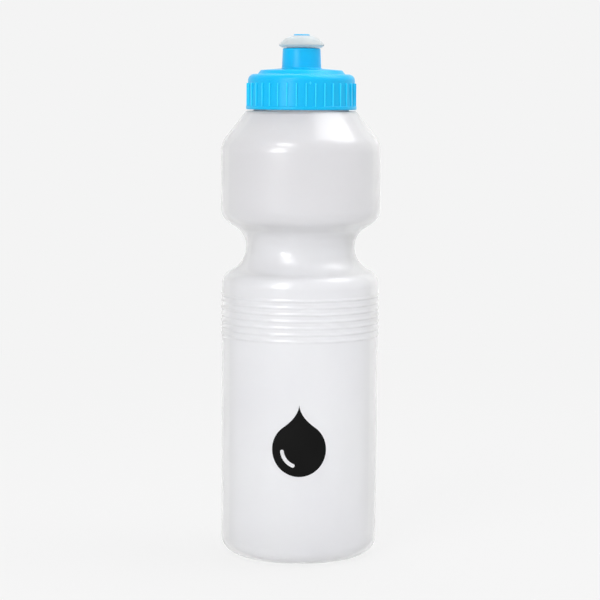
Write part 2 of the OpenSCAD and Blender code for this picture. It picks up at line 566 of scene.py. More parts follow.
def bead_tool() -> GeometryTool:
    """A tool that raises evenly spaced round beads on a turned wall."""
    tool = GeometryTool(
        "RaisedBeads", ("First Height", "Pitch", "Proud", "Half Width", "Least Radius"), ("Count",)
    )
    first, pitch = tool.value("First Height"), tool.value("Pitch")
    _, _, z, _ = tool.place()
    step = tool.maths("ROUND", tool.maths("DIVIDE", tool.maths("SUBTRACT", z, first), pitch))
    last = tool.maths("SUBTRACT", tool.value("Count"), 1.0)
    step = tool.maths("MINIMUM", tool.maths("MAXIMUM", step, 0.0), last)
    centre = tool.maths("MULTIPLY_ADD", step, pitch, first)
    away = tool.maths("ABSOLUTE", tool.maths("SUBTRACT", z, centre))
    share = tool.clamped(tool.maths("DIVIDE", away, tool.value("Half Width")))
    wave = tool.maths("COSINE", tool.product(share, math.pi))
    height = tool.product(tool.maths("MULTIPLY_ADD", wave, 0.5, 0.5), tool.value("Proud"))
    tool.close(tool.raise_wall(tool.value("Geometry"), height, tool.value("Least Radius"), 1.0))
    return tool


def thread_tool() -> GeometryTool:
    """A tool that raises a helical ridge on a turned wall, with ends that fade into it."""
    tool = GeometryTool(
        "ThreadRidge",
        (
            "Start Height",
            "Start Turn",
            "Lead",
            "Turns",
            "Ridge",
            "Foot Half Width",
            "Crest Half Width",
            "Fade Turns",
            "Least Radius",
            "Most Radius",
        ),
    )
    x, y, z, _ = tool.place()
    lead = tool.value("Lead")
    round_axis = tool.maths("DIVIDE", tool.maths("ARCTAN2", y, x), math.tau)
    from_start = tool.maths("SUBTRACT", round_axis, tool.value("Start Turn"))
    part = tool.maths("FRACT", tool.maths("ADD", from_start, 2.0))
    climbed = tool.maths("DIVIDE", tool.maths("SUBTRACT", z, tool.value("Start Height")), lead)
    whole = tool.maths("MAXIMUM", tool.maths("ROUND", tool.maths("SUBTRACT", climbed, part)), 0.0)
    turn = tool.maths("ADD", part, whole)
    away = tool.maths("ABSOLUTE", tool.product(tool.maths("SUBTRACT", climbed, turn), lead))
    flank = tool.ramp(away, tool.value("Crest Half Width"), tool.value("Foot Half Width"), 1.0, 0.0)
    left = tool.maths("SUBTRACT", tool.value("Turns"), turn)
    fade = tool.maths("DIVIDE", tool.maths("MINIMUM", turn, left), tool.value("Fade Turns"))
    height = tool.product(flank, tool.clamped(fade), tool.value("Ridge"))
    radii = tool.value("Least Radius"), tool.value("Most Radius")
    tool.close(tool.raise_wall(tool.value("Geometry"), height, *radii))
    return tool


def rib_tool() -> GeometryTool:
    """A tool that stands upright ribs with rounded crests round a skirt."""
    tool = GeometryTool(
        "GripRibs",
        ("Crest Radius", "Foot Height", "Length", "Width", "Depth", "Round", "Tip"),
        ("Count",),
    )
    depth, tip = tool.value("Depth"), tool.value("Tip")
    section = tool.add(
        "GeometryNodeCurvePrimitiveQuadrilateral",
        {"mode": "RECTANGLE"},
        Width=depth,
        Height=tool.value("Width"),
    )
    softened = tool.add(
        "GeometryNodeFilletCurve",
        {"mode": "POLY"},
        Curve=section.outputs[0],
        Count=4,
        Radius=tool.value("Round"),
        Limit_Radius=True,
    )
    base = tool.add("GeometryNodeFillCurve", {"mode": "NGONS"}, Curve=softened.outputs[0])
    up = tool.add("ShaderNodeCombineXYZ", Z=tool.maths("SUBTRACT", tool.value("Length"), tip))
    shaft = tool.add(
        "GeometryNodeExtrudeMesh",
        {"mode": "FACES"},
        Mesh=base.outputs[0],
        Offset=up.outputs[0],
        Offset_Scale=1.0,
    )
    up_tip = tool.add("ShaderNodeCombineXYZ", Z=tip)
    end = tool.add(
        "GeometryNodeExtrudeMesh",
        {"mode": "FACES"},
        Mesh=shaft.outputs["Mesh"],
        Selection=shaft.outputs["Top"],
        Offset=up_tip.outputs[0],
        Offset_Scale=1.0,
    )
    narrowed = tool.add(
        "GeometryNodeScaleElements",
        {"domain": "FACE"},
        Geometry=end.outputs["Mesh"],
        Selection=end.outputs["Top"],
        Scale=TIP_SCALE,
    )
    floor = tool.add("GeometryNodeFlipFaces", Mesh=base.outputs[0])
    whole = tool.add("GeometryNodeJoinGeometry")
    tool.tree.links.new(floor.outputs[0], whole.inputs[0])
    tool.tree.links.new(narrowed.outputs[0], whole.inputs[0])
    closed = tool.add("GeometryNodeMergeByDistance", Geometry=whole.outputs[0], Distance=1e-6)
    middle = tool.maths("MULTIPLY_ADD", depth, -0.5, tool.value("Crest Radius"))
    spot = tool.add("ShaderNodeCombineXYZ", X=middle, Z=tool.value("Foot Height"))
    rib = tool.add("GeometryNodeTransform", Geometry=closed.outputs[0], Translation=spot.outputs[0])
    # Painted light: the ribs carry the mark, so the lid paints them lighter, standing in for light on
    # and through their thin crests.
    painted_light = tool.add(
        "GeometryNodeStoreNamedAttribute", Geometry=rib.outputs[0], Name=PAINTED_LIGHT, Value=1.0
    )
    seats = tool.add("GeometryNodeMeshLine", Count=tool.value("Count"))
    seats.inputs["Offset"].default_value = (0, 0, 0)
    index = tool.add("GeometryNodeInputIndex").outputs[0]
    step = tool.maths("DIVIDE", math.tau, tool.value("Count"))
    turn = tool.add("ShaderNodeCombineXYZ", Z=tool.product(tool.maths("ADD", index, 0.5), step))
    ring = tool.add(
        "GeometryNodeInstanceOnPoints",
        Points=seats.outputs[0],
        Instance=painted_light.outputs[0],
        Rotation=turn.outputs[0],
    )
    both = tool.add("GeometryNodeJoinGeometry")
    tool.tree.links.new(ring.outputs[0], both.inputs[0])
    tool.tree.links.new(tool.value("Geometry"), both.inputs[0])
    tool.close(both.outputs[0])
    return tool


# --------------------------------------------------------------------------- finishes


class SharedEffect(Tree):
    """A shader node group that several finishes use, made once."""

    def __init__(self, name: str, inputs: dict[str, float], outputs: Sequence[str]) -> None:
        """Makes the group's interface.

        Args:
            name: Name of the group.
            inputs: Each input's name and default.
            outputs: Names of the values that the group puts out.
        """
        super().__init__(bpy.data.node_groups.new(name, "ShaderNodeTree"))
        for label, default in inputs.items():
            made = self.tree.interface.new_socket(
                label, in_out="INPUT", socket_type="NodeSocketFloat"
            )
            made.default_value = default
        for label in outputs:
            self.tree.interface.new_socket(label, in_out="OUTPUT", socket_type="NodeSocketFloat")
        self.given = self.add("NodeGroupInput")
        self.result = self.add("NodeGroupOutput")
        self.coordinates = self.add("ShaderNodeTexCoord").outputs["Object"]

    def noise(
        self, scale: float | Socket, detail: float, rough: float, vector: Socket | None = None
    ) -> Socket:
        """A noise value on the piece's own coordinates.

        Args:
            scale: Cells in a metre.
            detail: Octaves.
            rough: Weight of the fine octaves.
            vector: Coordinates to use in place of the piece's own.

        Returns:
            The noise's value.
        """
        node = self.add("ShaderNodeTexNoise", Scale=scale, Detail=detail, Roughness=rough)
        self.put(node.inputs["Vector"], vector or self.coordinates)
        return node.outputs["Fac"]

    def stretched(self, scale: tuple[float, float, float]) -> Socket:
        """The piece's coordinates, stretched along an axis."""
        node = self.add("ShaderNodeMapping", Vector=self.coordinates)
        node.inputs["Scale"].default_value = scale
        return node.outputs[0]


def mould_grain() -> SharedEffect:
    """Fine grain that a blasted mould leaves, and the slight waviness of a cooled wall."""
    effect = SharedEffect(
        "MouldGrain",
        {"Grain Scale": 2600.0, "Grain": 0.3, "Wave Scale": 45.0, "Wave": 0.7},
        ("Height", "Cloud"),
    )
    given = effect.given.outputs
    grain = effect.noise(given["Grain Scale"], 2.0, 0.6)
    wave = effect.noise(given["Wave Scale"], 2.0, 0.45, effect.stretched((1.0, 1.0, 0.35)))
    height = effect.maths(
        "ADD", effect.product(grain, given["Grain"]), effect.product(wave, given["Wave"])
    )
    effect.put(effect.result.inputs["Height"], height)
    effect.put(effect.result.inputs["Cloud"], effect.noise(26.0, 4.0, 0.5))
    return effect


def handling_marks() -> SharedEffect:
    """Hairline scuffs and soft smudges from handling, as a mask from 0 to 1."""
    effect = SharedEffect("HandlingMarks", {"Hairlines": 0.5, "Smudges": 0.5}, ("Mask",))
    given = effect.given.outputs
    upright = effect.noise(900.0, 3.0, 0.7, effect.stretched((1.0, 1.0, 0.05)))
    across = effect.noise(700.0, 3.0, 0.7, effect.stretched((0.12, 0.12, 1.0)))
    lines = effect.maths("MAXIMUM", effect.ramp(upright, 0.62, 0.78), effect.ramp(across, 0.66, 0.8))
    smudge = effect.ramp(effect.noise(38.0, 5.0, 0.6), 0.45, 0.75)
    mask = effect.maths(
        "ADD", effect.product(lines, given["Hairlines"]), effect.product(smudge, given["Smudges"])
    )
    effect.put(effect.result.inputs["Mask"], effect.clamped(mask))
    return effect


@dataclass(frozen=True)
class MouldedPlastic:
    """A moulded plastic: two close shades, a grained surface and marks of handling.

    Points that carry the painted light mark take the painted light shade, a painted shade or a painted
    highlight as each piece stores it.
    A translucent wall takes a painted rim light where it turns edge-on, and a painted fold shade just
    before that, standing in for the light that leaves through its inner face.
    """

    name: str
    shade: Colour
    dense_shade: Colour
    roughness: float
    scuffed: float
    painted_light_shade: Colour | None = None
    painted_rim_light: Colour | None = None
    painted_fold_shade: Colour = (0.8, 0.8, 0.8)
    painted_fold_facing: float = 0.36
    painted_rim_facing: tuple[float, float] = (0.54, 0.6)
    transmission: float = 0.0
    subsurface: float = 0.0
    scatter: Colour = (0.004, 0.004, 0.004)
    ior: float = 1.5
    specular: float = 0.5
    sheen: float = 0.0
    coat: float = 0.0
    coat_roughness: float = 0.2
    grain_scale: float = 2600.0
    grain: float = 0.3
    wave_scale: float = 45.0
    wave: float = 0.7
    bump_mm: float = 0.05
    hairlines: float = 0.5
    smudges: float = 0.5

    def build(self, grain: SharedEffect, marks: SharedEffect) -> bpy.types.Material:
        """Makes the material.

        Args:
            grain: The mould grain group.
            marks: The handling marks group.

        Returns:
            The material.
        """
        material = bpy.data.materials.new(self.name)
        material.use_nodes = True
        tree = Tree(material.node_tree)
        shader = material.node_tree.nodes["Principled BSDF"]
        surface = tree.add(
            "ShaderNodeGroup",
            {"node_tree": grain.tree},
            Grain_Scale=self.grain_scale,
            Grain=self.grain,
            Wave_Scale=self.wave_scale,
            Wave=self.wave,
        )
        worn = tree.add(
            "ShaderNodeGroup",
            {"node_tree": marks.tree},
            Hairlines=self.hairlines,
            Smudges=self.smudges,
        )
        cloud = tree.ramp(surface.outputs["Cloud"], 0.3, 0.7)
        colour = tree.blend(self.shade, self.dense_shade, cloud)
        # Painted light: marked points take a colour that stands in for shade or for a highlight.
        if self.painted_light_shade:
            painted_light_mask = tree.add("ShaderNodeAttribute", {"attribute_name": PAINTED_LIGHT})
            colour = tree.blend(colour, self.painted_light_shade, painted_light_mask.outputs["Fac"])
        # Painted light by view angle: lighter where the wall turns edge-on, darker just inside that.
        if self.painted_rim_light:
            facing = tree.add("ShaderNodeLayerWeight", Blend=0.5).outputs["Facing"]
            fold, rim = self.painted_fold_facing, self.painted_rim_facing
            colour = tree.blend(colour, self.painted_fold_shade, tree.ramp(facing, fold, rim[0]))
            colour = tree.blend(colour, self.painted_rim_light, tree.ramp(facing, *rim))
        tree.put(shader.inputs["Base Color"], colour)
        rough = tree.maths("MULTIPLY_ADD", worn.outputs["Mask"], self.scuffed, self.roughness)
        tree.put(shader.inputs["Roughness"], rough)
        bump = tree.add(
            "ShaderNodeBump",
            Strength=1.0,
            Distance=self.bump_mm * MM,
            Height=surface.outputs["Height"],
        )
        tree.put(shader.inputs["Normal"], bump.outputs[0])
        for name, value in (
            ("Transmission Weight", self.transmission),
            ("Subsurface Weight", self.subsurface),
            ("Subsurface Radius", self.scatter),
            ("Subsurface Scale", 1.0),
            ("IOR", self.ior),
            ("Specular IOR Level", self.specular),
            ("Sheen Weight", self.sheen),
            ("Sheen Roughness", 0.5),
            ("Coat Weight", self.coat),
            ("Coat Roughness", self.coat_roughness),
        ):
            shader.inputs[name].default_value = value
        if self.coat:
            skin = tree.add("ShaderNodeAttribute", {"attribute_name": OUTSIDE})
            tree.put(shader.inputs["Coat Weight"], tree.product(skin.outputs["Fac"], self.coat))
        return material


BOTTLE_FINISH = MouldedPlastic(
    name="frosted_polyethylene",
    shade=(0.985, 0.988, 1.0),
    dense_shade=(0.95, 0.95, 0.97),
    roughness=0.42,
    scuffed=0.06,
    # Painted shade on the bulb above the waist, and a painted light rim with a painted darker fold at
    # the wall's edges.
    painted_light_shade=(0.90, 0.895, 0.91),
    painted_rim_light=(1.0, 1.0, 1.0),
    painted_fold_shade=(0.92, 0.92, 0.93),
    transmission=0.78,
    ior=1.38,
    sheen=0.2,
    coat=1.0,
    coat_roughness=0.15,
)
LID_FINISH = MouldedPlastic(
    name="cyan_polypropylene",
    shade=(0.0, 0.41, 0.73),
    dense_shade=(0.0, 0.39, 0.70),
    roughness=0.32,
    scuffed=0.1,
    # Painted highlight: lighter colour on the ribs and the gate nib.
    painted_light_shade=(0.02, 0.56, 0.90),
    subsurface=0.1,
    scatter=(0.0005, 0.002, 0.004),
    specular=0.22,
    wave_scale=90.0,
    wave=0.4,
    bump_mm=0.03,
)
WASHER_FINISH = MouldedPlastic(
    name="white_seal_rubber",
    shade=(0.84, 0.84, 0.82),
    dense_shade=(0.80, 0.80, 0.78),
    roughness=0.62,
    scuffed=0.15,
    grain_scale=1800.0,
)
MOUTHPIECE_FINISH = MouldedPlastic(
    name="clear_soft_polyethylene",
    shade=(0.72, 0.77, 0.78),
    dense_shade=(0.69, 0.75, 0.76),
    roughness=0.45,
    scuffed=0.1,
    # Painted light rim where the head turns edge-on, with a painted fold shade just inside it.
    painted_rim_light=(0.80, 0.84, 0.85),
    painted_fold_shade=(0.70, 0.76, 0.77),
    transmission=0.55,
    ior=1.4,
    wave_scale=120.0,
)
INK_FINISH = MouldedPlastic(
    name="black_print_ink",
    shade=(0.002, 0.002, 0.002),
    dense_shade=(0.004, 0.004, 0.004),
    roughness=0.5,
    scuffed=0.15,
    specular=0.1,
    grain_scale=3600.0,
)


# --------------------------------------------------------------------------- the pieces


@dataclass
class Piece:
    """What every finished piece declares to the frame."""

    finish: bpy.types.Material

    def declare(
        self, made: Object, body: Body, slot: Slot, stands_for: Node | None = None
    ) -> Object:
        """Rides the piece on its body and hides the frame's node that it stands for.

        Args:
            made: The finished object.
            body: The body that it moves with.
            slot: The record's material slot; not used.
            stands_for: The frame's node that it replaces, if any.

        Returns:
            The same object.
        """
        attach(made, body.value)
        if stands_for:
            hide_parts(stands_for.value)
        log.info("%s: %d faces, rides on %s", made.name, len(made.data.polygons), body.value)
        return made


@dataclass
class NeckThread:
    """The single-start thread between the neck and the lid."""

    lead: float = 5.0
    ridge: float = 1.0
    foot_half: float = 1.7
    crest_half: float = 0.8
    fade_turns: float = 30 / 360
    start_above_ledge: float = 2.8
    neck_turns: float = 1.5
    lid_turns: float = 1.25

    def raise_on(
        self,
        piece: Object,
        start: float,
        start_turn: float,
        turns: float,
        ridge: float,
        wall_r: tuple[float, float],
    ) -> None:
        """Raises the thread on one wall of a piece.

        Args:
            piece: The piece.
            start: Height at which the ridge starts.
            start_turn: Turn at which it starts, from +X.
            turns: Turns that it goes round.
            ridge: Height of the ridge, negative where it stands towards the axis.
            wall_r: Least and most radius of the wall that it is raised on.
        """
        thread_tool().run(
            piece,
            {
                "Start Height": start * MM,
                "Start Turn": start_turn,
                "Lead": self.lead * MM,
                "Turns": turns,
                "Ridge": ridge * MM,
                "Foot Half Width": self.foot_half * MM,
                "Crest Half Width": self.crest_half * MM,
                "Fade Turns": self.fade_turns,
                "Least Radius": wall_r[0] * MM,
                "Most Radius": wall_r[1] * MM,
            },
        )


@dataclass
class BottleShell(Piece):
    """The blow-moulded shell, from the hollow of its base to the rim of its threaded neck."""

    thread: NeckThread = field(default_factory=NeckThread)
    body_r: float = 36.3
    bulb_r: float = 36.87
    waist_r: float = 25.15
    waist_z: float = 143.0
    waist_h: float = 0.4
    wall: float = 1.3
    neck_r: float = 21.75
    neck_h: float = 13.4
    ledge_r: float = 25.45
    cone_angle: float = 37.7
    cone_round: float = 10.0
    flank_low: float = 66.0
    flank_high: float = 56.0
    waist_round_low: float = 1.08
    waist_round_high: float = 0.85
    body_top_round: float = 0.59
    bulb_low_round: float = 0.69
    push_up: float = 5.0
    push_up_r: float = 18.0
    base_ring_r: float = 25.2
    base_round: float = 8.0
    bead_count: int = 7
    bead_pitch: float = 3.06
    first_bead_z: float = 102.7
    bead_proud: float = 0.35
    bead_half: float = 1.0
    bead_margin: float = 1.2
    # Height over which the painted shade on the bulb grows from the waist.
    mark_rise: float = 20.0
    bead_row: float = 0.17
    thread_row: float = 0.24
    columns: int = 144

    @property
    def rim_z(self) -> float:
        """Height of the neck's rim."""
        return Node.BOTTLE.high()

    @property
    def ledge_z(self) -> float:
        """Height of the ledge at the neck's foot."""
        return self.rim_z - self.neck_h

    def outside(self) -> list[Corner]:
        """Corners of the outer face, from the middle of the base to the neck's rim."""
        low, high = self.body_r - self.waist_r, self.bulb_r - self.waist_r
        waist_low, waist_high = self.waist_round_low * low, self.waist_round_high * high
        flank_low, flank_high = math.radians(self.flank_low), math.radians(self.flank_high)
        waist_low_z = self.waist_z - waist_low * math.tan(flank_low / 2)
        waist_high_z = self.waist_z + self.waist_h + waist_high * math.tan(flank_high / 2)
        body_top_z = waist_low_z - low / math.tan(flank_low)
        bulb_low_z = waist_high_z + high / math.tan(flank_high)
        cone_z = self.ledge_z - (self.bulb_r - self.ledge_r) / math.tan(math.radians(self.cone_angle))
        return [
            Corner(0, self.push_up),
            Corner(self.push_up_r, self.push_up - 1, 10),
            Corner(self.base_ring_r, 0, 1.6),
            Corner(self.body_r, 0, self.base_round),
            Corner(self.body_r, body_top_z, self.body_top_round * low),
            Corner(self.waist_r, waist_low_z, waist_low - 0.05),
            Corner(self.waist_r, waist_high_z, waist_high - 0.05),
            Corner(self.bulb_r, bulb_low_z, self.bulb_low_round * high),
            Corner(self.bulb_r, cone_z, self.cone_round),
            Corner(self.ledge_r, self.ledge_z, 0.8),
            Corner(self.neck_r, self.ledge_z, 0.8),
            Corner(self.neck_r, self.rim_z),
        ]

    def outline(self) -> Outline:
        """The whole wall's outline, with close rows where the beads and the thread are raised."""
        outer = self.outside()
        inner = wall_inside(outer, self.wall)
        last_bead = self.first_bead_z + (self.bead_count - 1) * self.bead_pitch
        edge = [self.first_bead_z - self.bead_margin, last_bead + self.bead_margin]
        inner[3:3] = [Corner(self.body_r - self.wall, z) for z in edge]
        corners = [
            *outer[:4],
            *(Corner(self.body_r, z) for z in edge),
            *outer[4:-1],
            Corner(self.neck_r, self.rim_z, 0.45),
            Corner(self.neck_r - self.wall, self.rim_z, 0.45),
            *reversed(inner),
            Corner(0, self.push_up + self.wall),
        ]
        inner_r = self.body_r - self.wall
        beads = FineZone((inner_r - 0.1, edge[0]), (self.body_r + 0.1, edge[1]), self.bead_row)
        neck = FineZone(
            (self.neck_r - 0.1, self.ledge_z), (self.neck_r + 0.1, self.rim_z), self.thread_row
        )
        return Outline(corners, zones=[beads, neck])

    def build(self) -> Object:
        """Makes the shell with its beads and its thread.

        Returns:
            The finished object.
        """
        mesh = turned("blow_moulded_shell", self.outline().points(), self.columns)
        mark_outside(mesh)
        # Painted shade: from the waist up the shell takes a darker colour that stands in for the shade
        # on the bulb.
        mark_painted_light(mesh, self.waist_z, self.waist_z + self.mark_rise)
        shell = placed("blow_moulded_shell", mesh, self.finish, 30)
        bead_tool().run(
            shell,
            {
                "First Height": self.first_bead_z * MM,
                "Pitch": self.bead_pitch * MM,
                "Count": self.bead_count,
                "Proud": self.bead_proud * MM,
                "Half Width": self.bead_half * MM,
                "Least Radius": (self.body_r - self.wall - 0.3) * MM,
            },
        )
        thread = self.thread
        start = self.ledge_z + thread.start_above_ledge
        wall_r = (self.neck_r - 0.2, self.neck_r + 0.2)
        thread.raise_on(shell, start, 0.0, thread.neck_turns, thread.ridge, wall_r)
        return self.declare(shell, Body.BOTTLE, Slot.BOTTLE, Node.BOTTLE)


@dataclass
class ScrewLid(Piece):
    """The lid in one moulding: skirt, roof, raised disc, valve chamber, collar and pin."""

    thread: NeckThread = field(default_factory=NeckThread)
    skirt_r: float = 25.45
    skirt_in_r: float = 23.05
    foot_gap: float = 0.7
    keeper_drop: float = 0.9
    keeper_half: float = 0.5
    keeper_proud: float = 0.4
    band_h: float = 1.7
    panel_foot_r: float = 24.85
    panel_top_r: float = 24.6
    shoulder_round: float = 3.0
    roof_t: float = 1.9
    disc_r: float = 18.75
    disc_h: float = 1.8
    disc_roof: float = 1.7
    dome_rise: float = 0.8
    collar_r: float = 9.05
    collar_draft: float = 0.4
    collar_h: float = 10.1
    chamber_r: float = 7.4
    lip_bore_r: float = 6.85
    lip_t: float = 1.6
    cup_r: float = 8.9
    cup_drop: float = 0.8
    cup_floor_t: float = 1.4
    window_in_r: float = 3.6
    window_out_r: float = 6.5
    window_count: int = 3
    window_angle: float = 84.0
    shaft_r: float = 2.4
    pin_r: float = 3.7
    pin_head_h: float = 3.6
    pin_columns: int = 64
    rib_count: int = 36
    rib_crest_r: float = 25.3
    rib_w: float = 0.65
    rib_depth: float = 1.3
    rib_round: float = 0.3
    rib_below_flat: float = 4.1
    nib_r: float = 0.45
    nib_angle: float = -80.5
    thread_row: float = 0.24
    columns: int = 144

    @property
    def foot_z(self) -> float:
        """Height of the skirt's foot."""
        return Node.LID.low()

    @property
    def roof_z(self) -> float:
        """Height of the roof's underside, where the washer seats."""
        return Node.WASHER.high()

    @property
    def flat_z(self) -> float:
        """Height of the lid's flat top."""
        return self.roof_z + self.roof_t

    @property
    def rib_top_z(self) -> float:
        """Height of the ribs' upper ends."""
        return self.flat_z - self.rib_below_flat

    @property
    def cup_floor(self) -> tuple[float, float]:
        """Heights of the lower and the upper face of the valve's floor."""
        low = self.roof_z - self.cup_drop
        return low, low + self.cup_floor_t

    def shell(self) -> Outline:
        """Outline of everything but the pin and the spokes of the valve's floor."""
        disc_z = self.flat_z + self.disc_h
        collar_foot_z, collar_top_z = disc_z + self.dome_rise, disc_z + self.collar_h
        floor_low, floor_high = self.cup_floor
        keeper_z = Node.BOTTLE.high() - self.keeper_drop
        corners = [
            Corner(self.skirt_in_r, self.foot_z, 0.4),
            Corner(self.skirt_r, self.foot_z, 0.5),
            Corner(self.skirt_r, self.foot_z + self.band_h, 0.3),
            Corner(self.panel_foot_r, self.foot_z + self.band_h, 0.15),
            Corner(self.panel_top_r, self.rib_top_z, 2.0),
            Corner(self.panel_top_r, self.flat_z, self.shoulder_round),
            Corner(self.disc_r + 1.4, self.flat_z, 0.8),
            Corner(self.disc_r, disc_z, 0.8),
            Corner(self.collar_r, collar_foot_z, 0.7),
            Corner(self.collar_r - self.collar_draft, collar_top_z, 0.8),
            Corner(self.lip_bore_r, collar_top_z, 0.3),
            Corner(self.lip_bore_r, collar_top_z - self.lip_t, 0.1),
            Corner(self.chamber_r, collar_top_z - self.lip_t, 0.1),
            Corner(self.chamber_r, floor_high, 0.2),
            Corner(self.window_out_r, floor_high, 0.15),
            Corner(self.window_out_r, floor_low, 0.15),
            Corner(self.cup_r, floor_low, 0.4),
            Corner(self.cup_r, disc_z - self.disc_roof, 0.6),
            Corner(self.disc_r - 1, disc_z - self.disc_roof, 0.6),
            Corner(self.disc_r - 1, self.roof_z, 0.4),
            Corner(self.skirt_in_r, self.roof_z, 0.2),
            Corner(self.skirt_in_r, keeper_z + self.keeper_half, 0.1),
            Corner(self.skirt_in_r - self.keeper_proud, keeper_z, 0.3),
            Corner(self.skirt_in_r, keeper_z - self.keeper_half, 0.1),
        ]
        inner_wall = FineZone(
            (self.skirt_in_r - 0.05, self.foot_z),
            (self.skirt_in_r + 0.05, keeper_z - self.keeper_half),
            self.thread_row,
        )
        return Outline(corners, zones=[inner_wall])

    def pin(self) -> Outline:
        """Outline of the pin and of the hub that it stands on."""
        top = Node.LID.high()
        floor_low, floor_high = self.cup_floor
        return Outline(
            [
                Corner(0, floor_low),
                Corner(self.window_in_r, floor_low, 0.15),
                Corner(self.window_in_r, floor_high, 0.15),
                Corner(self.shaft_r, floor_high, 0.5),
                Corner(self.shaft_r, top - self.pin_head_h - 1, 0.5),
                Corner(self.pin_r, top - self.pin_head_h, 0.5),
                Corner(self.pin_r, top, 0.35),
                Corner(0, top),
            ]
        )

    def spoke(self, index: int) -> Mesh:
        """One spoke of the valve's floor, between two flow windows.

        Args:
            index: Which spoke, counted round the axis.

        Returns:
            A closed mesh whose ends are sunk in the hub and the cup.
        """
        low, high = self.cup_floor
        first = index * 360 / self.window_count + self.window_angle
        sweep = 360 / self.window_count - self.window_angle
        steps = 8
        shape = bmesh.new()
        rows = []
        for i in range(steps + 1):
            t = math.radians(first + sweep * i / steps)
            rows.append(
                [
                    shape.verts.new((r * MM * math.cos(t), r * MM * math.sin(t), z * MM))
                    for r, z in (
                        (self.window_in_r - 0.3, low),
                        (self.window_out_r + 0.3, low),
                        (self.window_out_r + 0.3, high),
                        (self.window_in_r - 0.3, high),
                    )
                ]
            )
        for a, b in zip(rows, rows[1:]):
            for k in range(4):
                shape.faces.new((a[k], a[(k + 1) % 4], b[(k + 1) % 4], b[k]))
        shape.faces.new(rows[0][::-1])
        shape.faces.new(rows[-1])
        return as_mesh(shape, "spoke")

    def nib(self) -> Mesh:
        """The small domed nib that the moulding gate leaves on the skirt."""
        shape = bmesh.new()
        bmesh.ops.create_uvsphere(shape, u_segments=20, v_segments=12, radius=self.nib_r * MM)
        bmesh.ops.scale(shape, vec=(0.55, 1.0, 1.5), verts=shape.verts)
        seat = Vector((self.panel_top_r * MM, 0, self.rib_top_z * MM))
        turn = Matrix.Rotation(math.radians(self.nib_angle), 4, "Z")
        bmesh.ops.transform(shape, matrix=turn @ Matrix.Translation(seat), verts=shape.verts)
        mesh = as_mesh(shape, "nib")
        # Painted highlight: the whole nib carries the mark and takes the lid's lighter colour, standing
        # in for a glint on it.
        mark_painted_light(mesh, 0, 1)
        return mesh

    def build(self) -> Object:
        """Makes the lid with its ribs and its thread.

        Returns:
            The finished object.
        """
        mesh = joined(
            "ribbed_screw_lid",
            [
                turned("lid_shell", self.shell().points(), self.columns),
                turned("pin", self.pin().points(), self.pin_columns),
                *(self.spoke(i) for i in range(self.window_count)),
                self.nib(),
            ],
        )
        lid = placed("ribbed_screw_lid", mesh, self.finish, 30)
        thread = self.thread
        start = self.foot_z - self.foot_gap + thread.start_above_ledge
        wall_r = (self.skirt_in_r - 0.15, self.skirt_in_r + 0.15)
        thread.raise_on(lid, start, 0.5, thread.lid_turns, -thread.ridge, wall_r)
        foot = self.foot_z + self.band_h - 0.2
        rib_tool().run(
            lid,
            {
                "Count": self.rib_count,
                "Crest Radius": self.rib_crest_r * MM,
                "Foot Height": foot * MM,
                "Length": (self.rib_top_z - foot) * MM,
                "Width": self.rib_w * MM,
                "Depth": self.rib_depth * MM,
                "Round": self.rib_round * MM,
                "Tip": self.rib_round * MM,
            },
        )
        return self.declare(lid, Body.LID, Slot.LID, Node.LID)


@dataclass
class SealingWasher(Piece):
    """The soft flat ring between the lid's roof and the neck's rim."""

    in_r: float = 19.95
    out_r: float = 22.75
    edge: float = 0.25
    columns: int = 128

    def build(self) -> Object:
        """Makes the ring.

        Returns:
            The finished object.
        """
        low, high = Node.WASHER.low(), Node.WASHER.high()
        corners = [
            Corner(self.in_r, low, self.edge),
            Corner(self.out_r, low, self.edge),
            Corner(self.out_r, high, self.edge),
            Corner(self.in_r, high, self.edge),
        ]
        mesh = turned("sealing_ring", Outline(corners, arc_step=15).points(), self.columns)
        ring = placed("sealing_ring", mesh, self.finish, 30)
        return self.declare(ring, Body.WASHER, Slot.WASHER, Node.WASHER)


@dataclass
class Mouthpiece(Piece):
    """The mushroom head on its hollow stem, with the foot that the collar's lip holds in."""

    lip_r: float = 10.4
    head_h: float = 5.35
    stem_r: float = 6.75
    stem_bore_r: float = 5.4
    hole_r: float = 3.75
    rim_r: float = 4.75
    foot_r: float = 7.3
    foot_t: float = 1.4
    columns: int = 128

    def outline(self) -> Outline:
        """The mouthpiece's outline, from the stem's foot round the head to the stem's bore."""
        foot, top = Node.MOUTHPIECE.low(), Node.MOUTHPIECE.high()
        under = top - self.head_h
        return Outline(
            [
                Corner(self.stem_bore_r, foot, 0.3),
                Corner(self.foot_r, foot, 0.5),
                Corner(self.foot_r, foot + self.foot_t, 0.3),
                Corner(self.stem_r, foot + self.foot_t, 0.1),
                Corner(self.stem_r, under + 0.4, 0.2),
                Corner(self.lip_r - 1.1, under, 0.4),
                Corner(self.lip_r + 0.2, under + 1.1, 0.5),
                Corner(self.lip_r - 2.05, under + 3.65, 8),
                Corner(self.rim_r, top, 0.4),
                Corner(self.hole_r + 0.5, top, 0.15),
                Corner(self.hole_r, top - 0.6, 0.1),
                Corner(self.hole_r, top - 2.2, 0.3),
                Corner(self.stem_bore_r, top - 3.2, 0.8),
            ]
        )

    def build(self) -> Object:
        """Makes the mouthpiece.

        Returns:
            The finished object.
        """
        mesh = turned("push_pull_head", self.outline().points(), self.columns)
        head = placed("push_pull_head", mesh, self.finish, 30)
        return self.declare(head, Body.MOUTHPIECE, Slot.MOUTHPIECE, Node.MOUTHPIECE)


